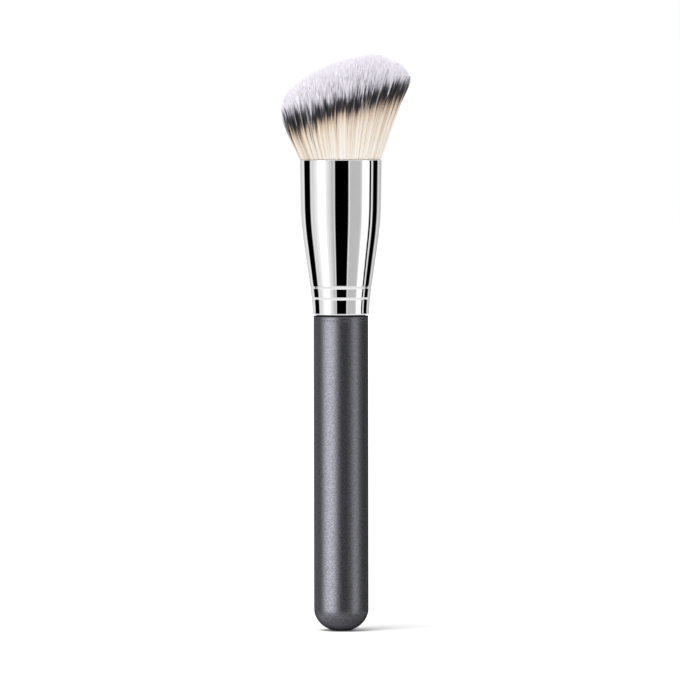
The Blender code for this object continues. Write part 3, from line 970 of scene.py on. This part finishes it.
def world():
    """White behind the brush, soft light from the front left, and a studio of softboxes for its gloss."""
    made = bpy.data.worlds.new("studio")
    made.use_nodes = True
    made.cycles.sampling_method = "NONE"
    bpy.context.scene.world = made
    s = Shader(made.node_tree)
    s.tree.nodes.clear()
    direction = s.add("ShaderNodeTexCoord", None, None, "Generated")
    x, y, z = s.split(direction)
    around = s.ramp(s.azimuth(x, y), [(share_of_turn(degrees), grey(level)) for degrees, level in SURROUND])
    above = s.mix(z.step(*SURROUND_EDGE), around, grey(CEILING_TONE))
    studio = s.mix((-z).step(*SURROUND_EDGE), above, grey(UNDER_TONE))
    inputs = {0: direction, 1: SOFT_FROM}
    toward = s.add("ShaderNodeVectorMath", {"operation": "DOT_PRODUCT"}, inputs, "Value")
    soft = s.ramp(toward * 0.5 + 0.5, [(0.0, grey(SOFT_LOW)), (1.0, grey(SOFT_HIGH))])
    from_camera, glossy, through = (s.add("ShaderNodeLightPath", None, None, name) for name in LIGHT_PATHS)
    light = s.mix(glossy, soft, studio)
    colour = s.mix((from_camera + through).step(0, 1), light, grey(1))
    background = s.add("ShaderNodeBackground", None, {"Color": colour, "Strength": 1.0})
    s.add("ShaderNodeOutputWorld", None, {"Surface": background})


STAGE_DROP = 0.02 * MM
FLOOR_REACH = 12.0
FLOOR_TONE_LIT = 0.85
FLOOR_TONE_SEEN = 0.87


def staged(name, bm, finish):
    """Makes the bmesh a part of the stage, a hair lower than the flat that the brush stands on."""
    mesh = bpy.data.meshes.new(name)
    bm.to_mesh(mesh)
    bm.free()
    mesh.materials.append(finish.material)
    obj = bpy.data.objects.new(name, mesh)
    obj.location.z = -STAGE_DROP
    bpy.context.scene.collection.objects.link(obj)
    return obj


def floor():
    """Pale floor that shows white to the camera but for the brush's shadow, and that gloss doesn't see."""
    bm = bmesh.new()
    bmesh.ops.create_grid(bm, x_segments=1, y_segments=1, size=FLOOR_REACH)
    f = Finish("pale_floor")
    camera_ray = f.add("ShaderNodeLightPath", None, None, "Is Camera Ray")
    f.set(Base_Color=f.mix(camera_ray, grey(FLOOR_TONE_LIT), grey(FLOOR_TONE_SEEN)), Roughness=1.0)
    staged("floor", bm, f.set(Specular_IOR_Level=0.0)).visible_glossy = False


CARDS_RADIUS = 20 * MM
CARDS_TOP = FOOT - 0.15 * MM
# The cards keep this share of their own brightness at their foot, where the rest is the floor's, and all of it
# above this height.
CARDS_FOOT_SHARE = 0.27
CARDS_FADE = 5.5 * MM
# Ramps hold brightness as a share of this.
CARDS_FULL = 4.0
LID_GAP = 0.3 * MM
LID_TONE = 0.85
LID_TONE_UNDER = 0.5
# Brightness of the floor underfoot, by distance from the brush's axis as a share of the ring's radius, dim near
# the axis as a painted shadow, how it changes from the handle's left side to its right as painted light from
# the left, and the shares between which the cards' light joins it.
UNDERFOOT = [(0.13, 0.05), (0.175, 0.15), (0.235, 0.25), (0.285, 0.37), (0.41, 0.4), (0.5, 0.48), (0.6, 0.55)]
UNDERFOOT_RADIUS = 70 * MM
UNDERFOOT_LEFT = 1.3
UNDERFOOT_RIGHT = 0.6
UNDERFOOT_EDGE_SHARES = (0.6, 1)
# Azimuth that the handle reflects, in degrees to the right, and its brightness.
HANDLE_CARDS = [
    (-180, 0.8),
    (-142, 0.95),
    (-130, 0.57),
    (-118, 0.34),
    (-100, 0.28),
    (-92, 0.4),
    (-84, 0.8),
    (-76, 1.35),
    (-68, 1.82),
    (-60, 2.2),
    (-52, 2.4),
    (-44, 2.27),
    (-34, 2.05),
    (-28, 1.75),
    (-22, 1.25),
    (-15, 0.7),
    (-8, 0.37),
    (0, 0.17),
    (10, 0.12),
    (22, 0.13),
    (34, 0.23),
    (46, 0.5),
    (54, 0.83),
    (62, 0.96),
    (70, 0.92),
    (78, 0.6),
    (88, 0.3),
    (104, 0.17),
    (122, 0.15),
    (142, 0.42),
    (180, 0.4),
]


def card_place(reflected):
    """Azimuth on the ring of what the handle seems to reflect from this azimuth, in degrees."""
    nearness = HANDLE_RADIUS / CARDS_RADIUS
    return reflected - math.degrees(math.asin(nearness * math.sin(math.radians(reflected / 2))))


def card_stops():
    """Ramp stops of the ring's brightness by azimuth."""
    return [(share_of_turn(card_place(degrees)), card_grey(level)) for degrees, level in HANDLE_CARDS]


def card_grey(level):
    return grey(level / CARDS_FULL)


def cards_seen_by_gloss(name, bm, finish, glow):
    """Makes the bmesh a part of the stage that glows for glossy rays alone."""
    finish.set(Base_Color=grey(0), Specular_IOR_Level=0.0, Emission_Color=glow, Emission_Strength=CARDS_FULL)
    cards = staged(name, bm, finish)
    cards.visible_camera = cards.visible_diffuse = cards.visible_shadow = cards.visible_transmission = False


def handle_cards():
    """A ring of softboxes and cards close round the handle, which only gloss sees."""
    bm = bmesh.new()
    bmesh.ops.create_cone(
        bm,
        segments=PLAIN_SEGMENTS,
        radius1=CARDS_RADIUS,
        radius2=CARDS_RADIUS,
        depth=CARDS_TOP,
    )
    bmesh.ops.translate(bm, verts=bm.verts, vec=(0, 0, CARDS_TOP / 2))
    f = Finish("cards_round_handle")
    azimuth, _, z = f.around()
    own_share = CARDS_FOOT_SHARE + (1 - CARDS_FOOT_SHARE) * z.step(0, CARDS_FADE)
    glow = f.mix(own_share, card_grey(UNDERFOOT[-1][1]), f.ramp(azimuth, card_stops()))
    cards_seen_by_gloss("handle_cards", bm, f, glow)


def floor_underfoot():
    """The floor that only gloss sees, a glowing disc with a painted shadow under the handle, brighter further
    out and to the left.
    """
    bm = bmesh.new()
    bmesh.ops.create_circle(bm, cap_ends=True, segments=PLAIN_SEGMENTS // 2, radius=UNDERFOOT_RADIUS)
    f = Finish("floor_in_gloss")
    azimuth, radius, _ = f.around()
    reach = radius / CARDS_RADIUS
    near = f.ramp(reach, [(share, card_grey(level)) for share, level in UNDERFOOT])
    x = f.split(f.object_place())[0]
    # Painted light from the left and painted shade to the right.
    sides = f.ramp((x / HANDLE_RADIUS + 1) / 2, [(0, grey(UNDERFOOT_LEFT)), (1, grey(UNDERFOOT_RIGHT))])
    near = f.mix(1, near, sides, "MULTIPLY")
    cards_share = CARDS_FOOT_SHARE * reach.step(*UNDERFOOT_EDGE_SHARES)
    glow = f.mix(cards_share, near, f.ramp(azimuth, card_stops()))
    cards_seen_by_gloss("floor_underfoot", bm, f, glow)


def cards_lid():
    """A lid on the ring of cards, which shows one tone to the ferrule's foot and another to the handle."""
    lid = turned([(HANDLE_RADIUS + LID_GAP, CARDS_TOP), (CARDS_RADIUS, CARDS_TOP)], PLAIN_SEGMENTS)
    f = Finish("lid_over_cards")
    under = f.add("ShaderNodeNewGeometry", None, None, "Backfacing")
    cards_seen_by_gloss("cards_lid", lid, f, f.mix(under, card_grey(LID_TONE), card_grey(LID_TONE_UNDER)))


KEY_FROM = (-0.31, -0.3, 0.91)
KEY_WIDTH_DEGREES = 34
KEY_STRENGTH = 2.05


def key_light():
    """Broad soft light from high on the left, a little in front."""
    data = bpy.data.lights.new("key", "SUN")
    data.angle = math.radians(KEY_WIDTH_DEGREES)
    data.energy = KEY_STRENGTH
    obj = bpy.data.objects.new("key", data)
    obj.rotation_euler = Vector(KEY_FROM).to_track_quat("Z", "Y").to_euler()
    obj.visible_glossy = False
    bpy.context.scene.collection.objects.link(obj)


CAMERA_DISTANCE = 2.0
CAMERA_SIDE = -0.2 * MM
CAMERA_LEAN_DEGREES = 0.08
AIM_HEIGHT = 85.8 * MM
# Focal length and sensor width, in mm as Blender takes them.
LENS = 358.9
SENSOR = 36
NEAREST_SEEN = 0.1
FURTHEST_SEEN = 40


def camera():
    """Camera in front, as high as the ferrule's mouth and tipped down to the brush's middle."""
    data = bpy.data.cameras.new("camera")
    data.lens = LENS
    data.sensor_width = SENSOR
    data.clip_start = NEAREST_SEEN
    data.clip_end = FURTHEST_SEEN
    tip = math.atan2(MOUTH - AIM_HEIGHT, CAMERA_DISTANCE)
    obj = bpy.data.objects.new("camera", data)
    obj.location = (CAMERA_SIDE, -CAMERA_DISTANCE, MOUTH)
    obj.rotation_euler = (math.radians(90) - tip, math.radians(CAMERA_LEAN_DEGREES), 0)
    bpy.context.scene.collection.objects.link(obj)
    bpy.context.scene.camera = obj


# The whole scene


def dress(node, finish):
    """Gives a CAD node that is kept its finish."""
    for place in nodes[node].material_slots:
        place.material = finish


dress("handle_core", wood_finish())
dress("tenon_glue", resin_finish("amber_adhesive", (0.5, 0.32, 0.1), (0.7, 0.52, 0.24)))
dress("root_plug", resin_finish("clear_casting_resin", (0.62, 0.58, 0.46), (0.78, 0.74, 0.62)))
dress("binding_thread", thread_finish())
handle_skin()
ferrule()
packed_roots()
packed_middle()
tuft()
world()
floor()
handle_cards()
floor_underfoot()
cards_lid()
key_light()
camera()

bpy.context.scene.view_settings.view_transform = "Standard"
